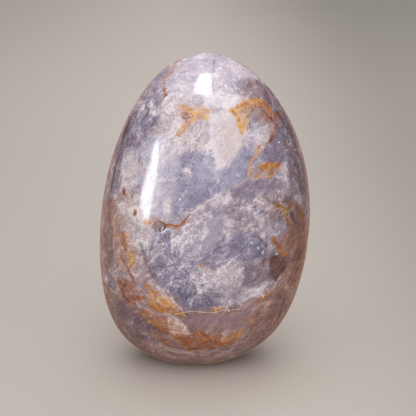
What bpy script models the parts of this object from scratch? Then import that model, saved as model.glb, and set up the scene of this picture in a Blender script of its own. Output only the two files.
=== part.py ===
"""A hand-polished freeform of blue rose quartz: one solid, egg-shaped stone that stands on a small ground flat.

Metres, +Z up. +X is the stone's width, -Y its best face and +Z its height.
The origin is in the plane of the flat, in the middle of the stone's width and depth.
"""

import math

import bmesh
import bpy
from mathutils import Matrix, Vector

MM = 0.001

# Driving dimensions of the stone before its base is ground flat
FULL_HEIGHT = 102.4 * MM
HALF_WIDTH = 33.2 * MM
FACE_DEPTH = 26.0 * MM
BACK_DEPTH = 23.5 * MM

# The ground base: how much the wheel took off, and the height over which its edge is eased
GROUND_OFF = 1.6 * MM
EDGE_EASE = 1.2 * MM

# How the half width changes from base to crown, as shares of HALF_WIDTH for each power of the level.
# The level is -1 at the base, 0 at half height and 1 at the crown.
WIDTH_SHAPE = (1.0, -0.104, 0.082, -0.148, 0.078)
DEPTH_SHAPE = (1.0, -0.08, 0.02, -0.10, 0.05)

# The stone leans: its middle line moves sideways and back with the level
SIDE_LEAN = (0.0, 2.7 * MM, -1.75 * MM, -0.85 * MM)
BACK_LEAN = (0.0, 1.4 * MM, 0.6 * MM, 0.0)

# Hand polishing leaves three broad, barely flatter sides
FLATTENING = 0.012
FLAT_SIDES = 3
FLATS_TURN = math.radians(25.0)

# Facets around and from pole to pole
AROUND = 72
LEVELS = 40

LILAC_GREY = (0.40, 0.35, 0.42, 1.0)
POLISH = 0.08


def clear_scene():
    """Removes whatever the file opened with."""
    for thing in list(bpy.data.objects):
        bpy.data.objects.remove(thing, do_unlink=True)


def powers(shares, level):
    """The sum of shares[n] times level to the power n."""
    return sum(share * level**n for n, share in enumerate(shares))


def ground(height):
    """The height over the base once the wheel has cut it flat and its edge is eased."""
    above = height - GROUND_OFF
    if above <= 0.0:
        return 0.0
    if above >= EDGE_EASE:
        return above
    share = above / EDGE_EASE
    return EDGE_EASE * share**2 * (2.0 - share)


def shaped(direction):
    """The point of the stone's skin that lies in this direction from its middle."""
    level = max(-1.0, min(1.0, direction.z))
    around = math.atan2(direction.y, direction.x)
    girth = math.hypot(direction.x, direction.y)
    sides = 1.0 + FLATTENING * girth**2 * math.cos(FLAT_SIDES * (around - FLATS_TURN))
    depth = FACE_DEPTH if direction.y < 0.0 else BACK_DEPTH
    x = powers(SIDE_LEAN, level) + direction.x * sides * HALF_WIDTH * powers(WIDTH_SHAPE, level)
    y = powers(BACK_LEAN, level) + direction.y * sides * depth * powers(DEPTH_SHAPE, level)
    z = ground(0.5 * FULL_HEIGHT * (1.0 + level))
    return Vector((x, y, z))


def flatten_base(mesh):
    """Makes the ground base one flat face."""
    base = [f for f in mesh.faces if all(v.co.z < 1e-7 for v in f.verts)]
    bmesh.ops.dissolve_faces(mesh, faces=base, use_verts=True)


def centre_on_footprint(mesh):
    """Moves the stone so that the middle of its width and depth is over the origin."""
    xs = [v.co.x for v in mesh.verts]
    ys = [v.co.y for v in mesh.verts]
    middle = Vector(((min(xs) + max(xs)) / 2, (min(ys) + max(ys)) / 2, 0.0))
    bmesh.ops.translate(mesh, verts=mesh.verts, vec=-middle)


def quartz_material():
    """Polished, milky lilac-grey quartz."""
    material = bpy.data.materials.new("quartz")
    material.use_nodes = True
    surface = material.node_tree.nodes["Principled BSDF"]
    surface.inputs["Base Color"].default_value = LILAC_GREY
    surface.inputs["Roughness"].default_value = POLISH
    surface.inputs["IOR"].default_value = 1.544
    return material


def quartz_stone():
    """The one solid stone."""
    mesh = bmesh.new()
    bmesh.ops.create_uvsphere(
        mesh, u_segments=AROUND, v_segments=LEVELS, radius=1.0, matrix=Matrix.Identity(4)
    )
    for vertex in mesh.verts:
        vertex.co = shaped(vertex.co)
    flatten_base(mesh)
    centre_on_footprint(mesh)
    bmesh.ops.recalc_face_normals(mesh, faces=mesh.faces)
    data = bpy.data.meshes.new("quartz_stone")
    mesh.to_mesh(data)
    mesh.free()
    data.shade_smooth()
    data.set_sharp_from_angle(angle=math.radians(60.0))
    data.materials.append(quartz_material())
    stone = bpy.data.objects.new("quartz_stone", data)
    bpy.context.scene.collection.objects.link(stone)
    return stone


def main():
    clear_scene()
    quartz_stone()


main()
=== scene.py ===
# %% [markdown]
# # A polished freeform of blue rose quartz
#
# The object is one stone: an egg of cloudy lilac-grey quartz, tumbled and hand polished to a
# wet gloss, with rust that seeped into its cracks long before it was cut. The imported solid
# gives its size and place, and everything here only adds looks, one cell at a time.

# %% Load the frame
import math
import random

import bmesh
import bpy
import numpy as np
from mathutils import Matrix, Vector, interpolate, noise
from mathutils.bvhtree import BVHTree


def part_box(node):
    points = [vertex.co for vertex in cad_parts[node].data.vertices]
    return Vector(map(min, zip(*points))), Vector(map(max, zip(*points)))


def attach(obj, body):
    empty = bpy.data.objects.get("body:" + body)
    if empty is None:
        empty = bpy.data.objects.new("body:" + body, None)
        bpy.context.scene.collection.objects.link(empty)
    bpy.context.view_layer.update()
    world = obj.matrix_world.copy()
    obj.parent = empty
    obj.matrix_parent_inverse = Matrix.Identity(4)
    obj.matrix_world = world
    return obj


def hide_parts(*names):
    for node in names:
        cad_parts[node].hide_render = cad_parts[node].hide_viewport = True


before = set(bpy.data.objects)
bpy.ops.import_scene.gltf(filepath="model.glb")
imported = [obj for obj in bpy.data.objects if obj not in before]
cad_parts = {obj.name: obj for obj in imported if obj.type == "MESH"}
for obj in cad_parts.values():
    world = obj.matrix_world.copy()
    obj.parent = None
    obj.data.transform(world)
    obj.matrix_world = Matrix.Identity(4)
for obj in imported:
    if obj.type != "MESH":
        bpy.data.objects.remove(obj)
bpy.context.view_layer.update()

# %% [markdown]
# ## The camera
#
# The photographer stands a little above the stone and well back, with a long lens, so that the
# egg's outline stays true. Its place could come last, but here it comes first, because the marks
# on the stone's best face are placed by the pixel of the picture in which they show.

# %% Camera
MM = 0.001
PICTURE_SIDE = 416
SENSOR_WIDTH = 36.0
LENS = 163.5
CAMERA_DISTANCE = 600.0 * MM
CAMERA_ELEVATION = math.radians(20.0)
CAMERA_SIDESTEP = 1.11 * MM
CAMERA_LIFT = 0.58 * MM

stone_low, stone_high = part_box("quartz_stone")
stone_middle = Vector((0.0, 0.0, (stone_low.z + stone_high.z) / 2))
sight = Vector((0.0, math.cos(CAMERA_ELEVATION), -math.sin(CAMERA_ELEVATION)))
sight_right = Vector((1.0, 0.0, 0.0))
sight_up = sight_right.cross(sight)
camera_place = stone_middle - sight * CAMERA_DISTANCE
camera_place += sight_right * CAMERA_SIDESTEP + sight_up * CAMERA_LIFT

camera_data = bpy.data.cameras.new("camera")
camera_data.lens = LENS
camera_data.sensor_width = SENSOR_WIDTH
camera_data.clip_start = 0.01
camera = bpy.data.objects.new("camera", camera_data)
camera.location = camera_place
camera.rotation_euler = sight.to_track_quat("-Z", "Y").to_euler()
bpy.context.scene.collection.objects.link(camera)
bpy.context.scene.camera = camera
bpy.context.scene.view_settings.view_transform = "Standard"


def pixel_ray(column, row):
    """The direction in which the camera sees this pixel of the picture."""
    reach = LENS / SENSOR_WIDTH * PICTURE_SIDE
    aside = sight_right * (column - PICTURE_SIDE / 2)
    upward = sight_up * (PICTURE_SIDE / 2 - row)
    return (sight * reach + aside + upward).normalized()


print("the camera stands at", [round(v, 3) for v in camera_place])

# %% [markdown]
# ## The stone's skin
#
# A polished egg has no edges, so its mesh should have no poles either. A UV sphere crowds its
# faces at two ends, while a cube that is cut into a fine grid and blown up to a ball has faces
# of nearly one size all over. The ball is then pushed out to the same egg formula as the
# solid, so that the two agree to a few hundredths of a millimetre.

# %% Egg formula
FULL_HEIGHT = 102.4 * MM
HALF_WIDTH = 33.2 * MM
FACE_DEPTH = 26.0 * MM
BACK_DEPTH = 23.5 * MM
GROUND_OFF = 1.6 * MM
EDGE_EASE = 1.2 * MM
WIDTH_SHAPE = (1.0, -0.104, 0.082, -0.148, 0.078)
DEPTH_SHAPE = (1.0, -0.08, 0.02, -0.10, 0.05)
SIDE_LEAN = (0.0, 2.7 * MM, -1.75 * MM, -0.85 * MM)
BACK_LEAN = (0.0, 1.4 * MM, 0.6 * MM, 0.0)
FLATTENING = 0.012
FLAT_SIDES = 3
FLATS_TURN = math.radians(25.0)


def powers(shares, level):
    """The sum of shares[n] times level to the power n."""
    return sum(share * level**n for n, share in enumerate(shares))


def ground(height):
    """The height over the base once the wheel has cut it flat and its edge is eased."""
    above = height - GROUND_OFF
    if above <= 0.0:
        return 0.0
    if above >= EDGE_EASE:
        return above
    share = above / EDGE_EASE
    return EDGE_EASE * share**2 * (2.0 - share)


def shaped(direction):
    """The point of the stone's skin that lies in this direction from its middle."""
    level = max(-1.0, min(1.0, direction.z))
    around = math.atan2(direction.y, direction.x)
    girth = math.hypot(direction.x, direction.y)
    sides = 1.0 + FLATTENING * girth**2 * math.cos(FLAT_SIDES * (around - FLATS_TURN))
    depth = FACE_DEPTH if direction.y < 0.0 else BACK_DEPTH
    x = powers(SIDE_LEAN, level) + direction.x * sides * HALF_WIDTH * powers(WIDTH_SHAPE, level)
    y = powers(BACK_LEAN, level) + direction.y * sides * depth * powers(DEPTH_SHAPE, level)
    return Vector((x, y, ground(0.5 * FULL_HEIGHT * (1.0 + level))))


# %% [markdown]
# ### From a cube to an egg
#
# The real stone was ground from a rough lump until every corner was gone. Here a cube with a
# fine grid takes that road: each grid point moves out to the ball, then to the egg formula. The
# grid is a little finer on the face, because the camera comes closest to it.

# %% Skin mesh
CELLS_PER_SIDE = 128
FRONT_CROWDING = 0.22


def even(share):
    """Spreads a cube's grid lines so that they are evenly spaced on the ball."""
    return math.tan(share * math.pi / 4)


skin = bmesh.new()
bmesh.ops.create_cube(skin, size=2.0)
bmesh.ops.subdivide_edges(skin, edges=skin.edges[:], cuts=CELLS_PER_SIDE - 1, use_grid_fill=True)
for vertex in skin.verts:
    on_ball = Vector([even(v) for v in vertex.co]).normalized()
    on_ball.y -= FRONT_CROWDING
    vertex.co = shaped(on_ball.normalized())

# The formula leans a little, so the egg is moved over the middle of the solid's box
xs = [v.co.x for v in skin.verts]
ys = [v.co.y for v in skin.verts]
lean = Vector(((min(xs) + max(xs)) / 2, (min(ys) + max(ys)) / 2, 0.0))
solid_middle = Vector(((stone_low.x + stone_high.x) / 2, (stone_low.y + stone_high.y) / 2, 0.0))
bmesh.ops.translate(skin, verts=skin.verts, vec=solid_middle - lean)
bmesh.ops.recalc_face_normals(skin, faces=skin.faces)
skin.normal_update()
surface = BVHTree.FromBMesh(skin)
print("skin:", len(skin.verts), "points and", len(skin.faces), "faces")

# %% [markdown]
# ## Finding places on the skin
#
# Marks on the best face are named by picture pixels: a ray from the camera through the pixel
# finds the place on the stone, so a mark sits on the skin and stays there from every side. Marks
# on the other sides are named by how far round they lie, in degrees from the face, and by their
# height in millimetres.

# %% Places
# A pixel just off the outline slides towards this one, in so many steps
LOOK_INWARD = (205, 210)
INWARD_STEPS = 40
# Rays from the sides start this far from the axis, in metres
OUTSIDE = 0.2
# The longest step along a line, in pixels, or in degrees and millimetres
PIXELS_APART = 4.0
MARKS_APART = 3.0


def spot(column, row):
    """The place on the skin at this pixel, or the nearest one inwards, and the normal there."""
    for step in range(INWARD_STEPS):
        share = step / INWARD_STEPS
        inward_column = column + (LOOK_INWARD[0] - column) * share
        inward_row = row + (LOOK_INWARD[1] - row) * share
        place, normal, _, _ = surface.ray_cast(camera_place, pixel_ray(inward_column, inward_row))
        if place is not None:
            return place, normal
    raise ValueError("this pixel is far off the stone")


def round_spot(around, height):
    """The point of the skin this many degrees round from the face, at this height in millimetres."""
    turn = math.radians(around)
    outward = Vector((math.sin(turn), -math.cos(turn), 0.0))
    axis_point = Vector((0.0, 0.0, height * MM))
    place, normal, _, _ = surface.ray_cast(axis_point + outward * OUTSIDE, -outward)
    return place, normal


def fine_steps(marks, longest):
    """The marks with more between them, so that no step is longer than the longest."""
    fine = [marks[0]]
    for start, end in zip(marks, marks[1:]):
        pieces = max(1, math.ceil(math.dist(start, end) / longest))
        for piece in range(1, pieces + 1):
            fine.append(tuple(a + (b - a) * piece / pieces for a, b in zip(start, end)))
    return fine


def seen(*pixels):
    """A line on the skin through these pixels of the picture, as places and normals in millimetres."""
    found = [spot(*pixel) for pixel in fine_steps(pixels, PIXELS_APART)]
    return np.array([p / MM for p, _ in found]), np.array([n for _, n in found])


def turned(*marks):
    """A line on the skin through these pairs of degrees round and millimetres up."""
    found = [round_spot(*mark) for mark in fine_steps(marks, MARKS_APART)]
    return np.array([p / MM for p, _ in found]), np.array([n for _, n in found])


middle_of_face, _ = seen(LOOK_INWARD)
print("the middle of the face, in millimetres:", middle_of_face.round(1).tolist())

# %% [markdown]
# ## A painter's box for stone
#
# Quartz like this is cloud, pane and stain in layers, so the skin is painted as a painter would
# lay in a picture: broad tones first, then panes and clouds, then rust and hairlines on top. Each
# quantity is one number for every point of the mesh, kept as an attribute, and the material
# turns the numbers into colour and adds the fine grain. An image texture would be simpler, but it
# would be flat, and it would fit one view alone.

# %% Coats of paint
skin.verts.ensure_lookup_table()
points = np.array([v.co for v in skin.verts]) / MM
facing = np.array([v.normal for v in skin.verts])
coats = {}

# Unseeded, this noise would start from the clock and differ from run to run
NOISE_SEED = 3
noise.seed_set(NOISE_SEED)

# Waves per millimetre, reach in millimetres, and a shift that makes each wobble its own
WOBBLES = ((0.17, 1.1, 3.0), (0.62, 0.55, 9.0), (1.7, 0.25, 27.0))
LACE_SCALE = 0.55
LACE_SHIFT = Vector((5.0, 1.0, 9.0))
LACE_LEVEL = 0.72
LACE_CONTRAST = 0.9
# Fractal noise adds four layers of waves, each twice as fine as the one before
FINER = 2.0
LAYERS = 4


def wobble(scale, reach, shift):
    """A soft push for every point, so that painted edges wander. The scale is in waves per millimetre."""
    drift = Vector((shift, -shift, shift))
    return reach * np.array([noise.noise_vector(Vector(p) * scale + drift) for p in points])


def fractal(scale, shift, smoothness):
    """A cloudy number for every point, from about -1 to 1. The scale is in waves per millimetre."""
    return np.array([noise.fractal(Vector(p) * scale + shift, smoothness, FINER, LAYERS) for p in points])


wandering = points
for scale, reach, shift in WOBBLES:
    wandering = wandering + wobble(scale, reach, shift)
lace = np.clip(LACE_LEVEL + LACE_CONTRAST * fractal(LACE_SCALE, LACE_SHIFT, 0.5), 0.0, 1.0)


def wandered(ragged):
    """The points pushed about, from not at all at a raggedness of 0 to fully at 1."""
    return points + (wandering - points) * ragged


def new_coat(name, value):
    """One more quantity for every point of the skin."""
    coats[name] = np.full(len(points), float(value))


def ease(share):
    """A smooth step from 0 to 1."""
    share = np.clip(share, 0.0, 1.0)
    return share * share * (3.0 - 2.0 * share)


print("each coat has", len(points), "numbers")

# %% [markdown]
# ### Strokes
#
# A stroke follows a line on the skin. For each point of the mesh the nearest place on the line
# is found, and the coat changes less and less as the gap grows. A brush on an image would smear
# over the seams of a UV map, while distances on the skin have no seams.

# %% Strokes
FAR_AWAY = 1e9
# Room in millimetres for points that wander towards a line
WANDER_ROOM = 2.0
# The width at a stroke's ends, as a share of its full width
END_WIDTH = 0.35


def lay(weight, values):
    """Lays these values over their coats, as strongly as the weight says at each point."""
    for name, value in values.items():
        coats[name] += (value - coats[name]) * weight


def to_line(line, asked, margin):
    """Which of the asked points lie near a line on the skin, and how far from it and on which side."""
    places, normals = line
    centre = places.mean(axis=0)
    radius = np.linalg.norm(places - centre, axis=1).max() + margin
    near = np.flatnonzero(np.linalg.norm(asked - centre, axis=1) < radius)
    best = np.full(len(near), FAR_AWAY)
    side = np.zeros(len(near))
    along = np.zeros(len(near))
    if len(places) == 1:
        return near, np.linalg.norm(asked[near] - places[0], axis=1), side, along
    for number, (start, end) in enumerate(zip(places, places[1:])):
        run = end - start
        share = np.clip((asked[near] - start) @ run / (run @ run), 0.0, 1.0)
        gap = asked[near] - start - share[:, None] * run
        distance = np.linalg.norm(gap, axis=1)
        across = np.cross(run, normals[number])
        closer = distance < best
        best = np.where(closer, distance, best)
        side = np.where(closer, gap @ (across / np.linalg.norm(across)), side)
        along = np.where(closer, (number + share) / (len(places) - 1), along)
    return near, best, side, along


def stroke(line, width, fade, strength=1.0, ragged=1.0, **values):
    """A brush stroke, this wide in millimetres, thin at its ends and broken by lace."""
    near, distance, _, along = to_line(line, wandered(ragged), width + fade + WANDER_ROOM)
    taper = END_WIDTH + (1.0 - END_WIDTH) * np.sin(math.pi * np.clip(along, 0.0, 1.0))
    weight = np.zeros(len(points))
    weight[near] = strength * ease(1.0 - (distance - width * taper / 2) / fade) * lace[near]
    lay(weight, values)


# %% [markdown]
# ### Filled shapes
#
# A patch is the same idea for an area: the line's points are the corners of a shape, looked at
# straight from its middle, and a point counts as inside when its sight line crosses the border
# an odd number of times.

# %% Filled shapes
TINY = 1e-9
# A shape's paint fades where the skin turns away from it, below this cosine
EDGE_ON = 0.35


def shape(line, fade, ragged):
    """How far each point lies inside a shape whose corners are the line's points, from 0 to 1."""
    places, normals = line
    centre = places.mean(axis=0)
    outward = normals.mean(axis=0)
    outward /= np.linalg.norm(outward)
    across = np.cross((0.0, 0.0, 1.0), outward)
    across /= np.linalg.norm(across)
    upward = np.cross(outward, across)
    asked = wandered(ragged)
    u, v = (asked - centre) @ across, (asked - centre) @ upward
    corners = list(zip((places - centre) @ across, (places - centre) @ upward))
    distance = np.full(len(points), FAR_AWAY)
    inside = np.zeros(len(points), bool)
    for (u0, v0), (u1, v1) in zip(corners, corners[1:] + corners[:1]):
        run_u, run_v = u1 - u0, v1 - v0
        length = max(run_u**2 + run_v**2, TINY)
        share = np.clip(((u - u0) * run_u + (v - v0) * run_v) / length, 0.0, 1.0)
        distance = np.minimum(distance, np.hypot(u - u0 - share * run_u, v - v0 - share * run_v))
        crosses = (v0 > v) != (v1 > v)
        inside ^= crosses & (u < u0 + (v - v0) * run_u / (run_v if run_v else TINY))
    signed = np.where(inside, distance, -distance)
    return ease(0.5 + signed / fade) * ease((facing @ outward) / EDGE_ON)


def patch(line, fade, strength=1.0, ragged=1.0, **values):
    """A filled shape that fades over its edge."""
    lay(strength * shape(line, fade, ragged), values)


def deepen(name, line, fade, strength, ragged=1.0):
    """Raises a coat inside a shape."""
    weight = strength * shape(line, fade, ragged)
    coats[name] = np.maximum(coats[name], weight)
    return weight


def crest(name, line, width, fade, strength, ragged=1.0):
    """Raises a coat to a ridge along a line, and returns how strong the ridge is at each point."""
    near, distance, _, _ = to_line(line, wandered(ragged), width + fade + WANDER_ROOM)
    ridge = np.zeros(len(points))
    ridge[near] = np.clip(1.0 - np.maximum(distance - width / 2, 0.0) / fade, 0.0, 1.0)
    coats[name] = np.maximum(coats[name], strength * ridge)
    return ridge


# %% [markdown]
# ### Broad tones
#
# Three coats carry the body: tone is how light the quartz is, warm runs from lilac-blue to
# pink-brown, and cloud says how frosty the grain is, from a calm pane to a broken veil. They
# start as bands by height: paler at the crown, darker and warmer at the foot. These bands are
# partly the stone's own colour and partly painted shade, with painted warm light bounced from below.

# %% Broad tones
height = points[:, 2]
around = np.degrees(np.arctan2(points[:, 0], -points[:, 1]))

# Heights in millimetres, each with the coat's value there; the dark, warm foot is partly painted shade
TONE_AND_SHADE_BANDS = (
    (0, 0.58), (8, 0.58), (20, 0.62), (34, 0.69), (60, 0.73), (80, 0.77), (92, 0.82), (101, 0.85),
)
WARMTH_AND_BOUNCE_BANDS = ((0, 0.88), (15, 0.84), (30, 0.50), (50, 0.25), (75, 0.25), (101, 0.25))
TONE_SWELL = 0.07
WARM_SWELL = 0.22
CLOUD_SWELL = 0.5
CLOUD_LEVEL = 0.85
CLOUD_RANGE = (0.2, 1.3)


def banded(bands):
    """A value for every point, by its height."""
    heights, values = zip(*bands)
    return np.interp(height, heights, values)


def swell(scale, shift):
    """A soft cloud over the whole stone."""
    return fractal(scale, Vector((shift, shift, -shift)), 0.6)


wide_swell = swell(0.045, 11.0)
close_swell = swell(0.08, 23.0)
coats["tone"] = banded(TONE_AND_SHADE_BANDS) + TONE_SWELL * close_swell
coats["warm"] = banded(WARMTH_AND_BOUNCE_BANDS) + WARM_SWELL * wide_swell
coats["cloud"] = np.clip(CLOUD_LEVEL + CLOUD_SWELL * close_swell, *CLOUD_RANGE)
for name in ("rust", "rust_depth", "smoke", "glint"):
    new_coat(name, 0.0)
print("coats:", sorted(coats))

# %% [markdown]
# ### Panes and clouds of the best face
#
# Inside the stone lie calm panes, where the quartz is clear enough to look blue, and veils of
# tiny bubbles, which look white. Each is a row of a table: its paint first, then the corners of
# its patch. Later rows cover earlier ones, so the large areas come first.

# %% Large areas of the face
def lay_areas(rows, on=seen):
    """Lays one patch per row: tone, warm, cloud, fade, strength and raggedness, then the corners."""
    for tone, warm, cloud, fade, strength, ragged, *corners in rows:
        patch(on(*corners), fade, strength, ragged, tone=tone, warm=warm, cloud=cloud)


FACE_AREAS = (
    # tone, warm, cloud, fade in mm, strength, raggedness, corners by pixel
    (0.63, 0.22, 1.0, 3.0, 0.9, 1.0, (112, 170), (122, 135), (138, 105), (158, 84), (161, 100),
     (158, 122), (146, 135), (128, 172), (118, 200)),
    (0.85, 0.16, 0.60, 3.0, 0.9, 1.0, (160, 92), (176, 68), (196, 58), (216, 53), (236, 59), (250, 72),
     (256, 92), (246, 104), (212, 108), (176, 104)),
    (0.96, 0.20, 0.6, 3.0, 0.8, 1.0, (178, 84), (192, 82), (196, 100), (180, 102)),
    (0.99, 0.20, 0.5, 2.5, 0.85, 1.0, (204, 94), (226, 92), (244, 96), (234, 107), (206, 108)),
    (0.89, 0.46, 0.85, 3.0, 0.9, 1.0, (160, 106), (186, 98), (214, 106), (211, 148), (196, 154),
     (176, 148), (160, 136)),
    # Beside the strip's reflection: pale frost, painted lighter still as painted glow round that
    # reflection
    (0.87, -0.02, 0.60, 1.4, 0.85, 0.5, (141, 142), (152, 134), (170, 138), (181, 150), (182, 190),
     (176, 216), (160, 220), (146, 214), (139, 180)),
    (0.95, 0.28, 0.90, 2.5, 0.85, 1.0, (124, 150), (140, 145), (138, 180), (134, 206), (120, 200)),
    (0.73, 0.66, 1.0, 3.5, 0.85, 1.0, (108, 196), (136, 190), (140, 228), (150, 262), (168, 296),
     (140, 300), (112, 280)),
    (0.69, 0.10, 1.35, 3.0, 0.9, 1.0, (142, 236), (166, 230), (196, 230), (206, 250), (214, 268),
     (222, 290), (214, 305), (190, 307), (168, 294), (152, 276)),
    (0.79, 0.10, 1.1, 3.5, 0.75, 1.0, (180, 232), (200, 222), (208, 236), (200, 262), (178, 262)),
    (0.69, 0.42, 1.15, 2.5, 0.85, 1.0, (228, 206), (262, 194), (282, 200), (278, 226), (262, 238),
     (242, 232), (228, 224)),
    (0.82, 0.32, 0.85, 3.0, 0.85, 1.0, (206, 272), (222, 258), (262, 262), (272, 280), (262, 296),
     (232, 306), (212, 304)),
    (0.55, 1.0, 0.7, 2.5, 0.9, 1.0, (286, 212), (304, 205), (306, 240), (298, 280), (282, 312),
     (272, 300), (284, 262)),
    (0.515, 0.38, 0.9, 2.5, 0.85, 1.0, (240, 80), (262, 78), (284, 108), (300, 150), (306, 196),
     (292, 196), (284, 150), (268, 112), (250, 98)),
    (0.89, 0.32, 0.9, 2.5, 0.85, 1.0, (244, 136), (264, 128), (274, 146), (252, 156)),
    (0.91, 0.22, 0.7, 2.5, 0.90, 1.0, (156, 146), (172, 140), (184, 150), (178, 166), (162, 164)),
    (0.91, 0.12, 0.7, 2.5, 0.8, 1.0, (158, 194), (180, 196), (186, 208), (166, 216)),
    (0.66, 0.30, 1.0, 2.5, 0.7, 1.0, (140, 96), (152, 78), (164, 72), (168, 92), (160, 108), (146, 116)),
    (0.47, 0.15, 1.0, 2.0, 0.7, 1.0, (112, 132), (124, 116), (136, 108), (138, 122), (126, 136),
     (116, 150)),
    (0.68, 0.30, 0.8, 2.5, 0.7, 1.0, (232, 82), (246, 80), (252, 96), (238, 100)),
    (0.54, 0.62, 0.9, 2.5, 0.8, 1.0, (262, 196), (286, 194), (296, 204), (292, 226), (270, 222)),
    (0.54, 0.40, 0.6, 2.0, 0.9, 1.0, (242, 266), (264, 262), (272, 276), (258, 288), (242, 286)),
    (0.56, 0.95, 0.6, 1.5, 0.8, 1.0, (104, 200), (112, 196), (114, 250), (108, 280), (100, 240)),
    (0.93, 0.38, 0.95, 3.0, 0.85, 1.0, (116, 204), (134, 206), (150, 222), (156, 244), (140, 250),
     (124, 236)),
    (0.54, 0.18, 0.8, 2.0, 0.80, 1.0, (178, 292), (206, 294), (224, 294), (222, 306), (190, 309)),
    (0.50, 1.0, 0.6, 1.6, 0.85, 1.0, (294, 206), (306, 200), (307, 240), (300, 270), (292, 250)),
)
lay_areas(FACE_AREAS)
print("areas of the face:", len(FACE_AREAS))

# %% [markdown]
# ### Panes
#
# Where the quartz has few bubbles, light goes in deep and comes back blue, as in a clear sky.
# These calm windows have straight borders, because they end at old cracks, so their fade is
# short and their cloud is low.

# %% Panes
PANES = (
    # tone, warm, cloud, fade in mm, strength, raggedness, corners by pixel
    (0.70, -0.06, 0.85, 3.2, 0.85, 1.0, (180, 158), (200, 150), (214, 154), (221, 178), (234, 160),
     (250, 146), (254, 152), (248, 170), (244, 182), (222, 194), (204, 204), (191, 213), (170, 216),
     (176, 186)),
    (0.70, -0.16, 0.55, 2.2, 0.90, 0.8, (193, 160), (212, 156), (222, 182), (238, 162), (249, 152),
     (246, 178), (222, 192), (200, 204), (186, 208), (184, 190)),
    (0.60, 0.03, 0.3, 2.2, 0.7, 1.0, (186, 194), (204, 188), (212, 196), (194, 208)),
    (0.78, 0.08, 0.45, 2.5, 0.7, 1.0, (226, 152), (242, 138), (252, 146), (242, 164), (228, 170)),
    (0.81, -0.16, 0.45, 2.5, 0.75, 1.0, (192, 160), (208, 156), (220, 170), (214, 180), (198, 180)),
    (0.69, -0.10, 0.3, 2.0, 0.6, 1.0, (214, 178), (232, 166), (238, 182), (222, 192)),
    (0.92, 0.54, 0.34, 0.9, 0.95, 0.5, (213, 114), (228, 108), (246, 114), (249, 128), (245, 142),
     (232, 160), (220, 172), (216, 160), (211, 140)),
    (0.89, 0.85, 0.30, 1.8, 0.7, 1.0, (221, 126), (236, 120), (243, 128), (238, 142), (227, 148)),
    (0.66, 0.80, 0.7, 2.0, 0.8, 1.0, (250, 104), (266, 104), (280, 116), (274, 126), (256, 124)),
    (0.70, 1.00, 0.5, 0.8, 0.8, 1.0, (251, 171), (262, 169), (275, 171), (268, 177), (256, 178)),
    (0.565, 0.34, 0.50, 1.6, 0.85, 0.8, (224, 199), (246, 184), (262, 179), (282, 178), (284, 188),
     (264, 194), (240, 200)),
    (0.58, 0.26, 0.50, 1.8, 0.85, 0.8, (270, 134), (282, 132), (285, 164), (264, 163), (260, 154)),
    (0.74, 0.14, 0.35, 1.4, 0.8, 0.6, (207, 224), (224, 214), (228, 224), (220, 242), (206, 252),
     (202, 242)),
    (0.59, 0.03, 0.95, 2.2, 0.8, 1.0, (206, 254), (222, 240), (246, 232), (252, 244), (250, 262),
     (232, 262), (214, 268)),
    (0.57, 0.10, 0.6, 1.0, 0.9, 0.6, (248, 233), (254, 232), (267, 244), (264, 258), (252, 260)),
    (0.46, 0.95, 0.6, 2.0, 0.80, 1.0, (276, 262), (290, 255), (303, 246), (304, 262), (292, 272),
     (280, 278)),
    (0.41, 0.80, 0.65, 1.4, 0.85, 0.8, (270, 258), (280, 253), (290, 257), (285, 268), (275, 280),
     (267, 274)),
    (0.66, 0.30, 0.6, 1.8, 0.6, 1.0, (222, 290), (232, 286), (242, 290), (240, 300), (224, 302)),
    (0.68, 0.80, 0.6, 1.8, 0.7, 1.0, (240, 84), (252, 78), (264, 88), (260, 97), (244, 98)),
)
lay_areas(PANES)
HOLLOW = seen((153, 224), (160, 223), (165, 227), (162, 232), (155, 232), (151, 228))
patch(HOLLOW, 0.6, 0.9, ragged=0.3, tone=0.59, warm=0.78, cloud=0.5)
print("panes:", len(PANES))

# %% [markdown]
# ### Veils and frost
#
# Healed cracks are sheets of tiny bubbles that flash white. Seen edge on, they are thin pale
# streaks, so each is a stroke in a light tone.

# %% Veils and frost
VEIL_FADE = 1.2
VEIL_CLOUD = 0.9


def lay_veils(rows, on=seen):
    """Lays one pale streak of frost per row: width, strength, tone and warmth, then the marks."""
    for width, strength, tone, warm, *marks in rows:
        stroke(on(*marks), width, VEIL_FADE, strength, tone=tone, warm=warm, cloud=VEIL_CLOUD)


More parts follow.
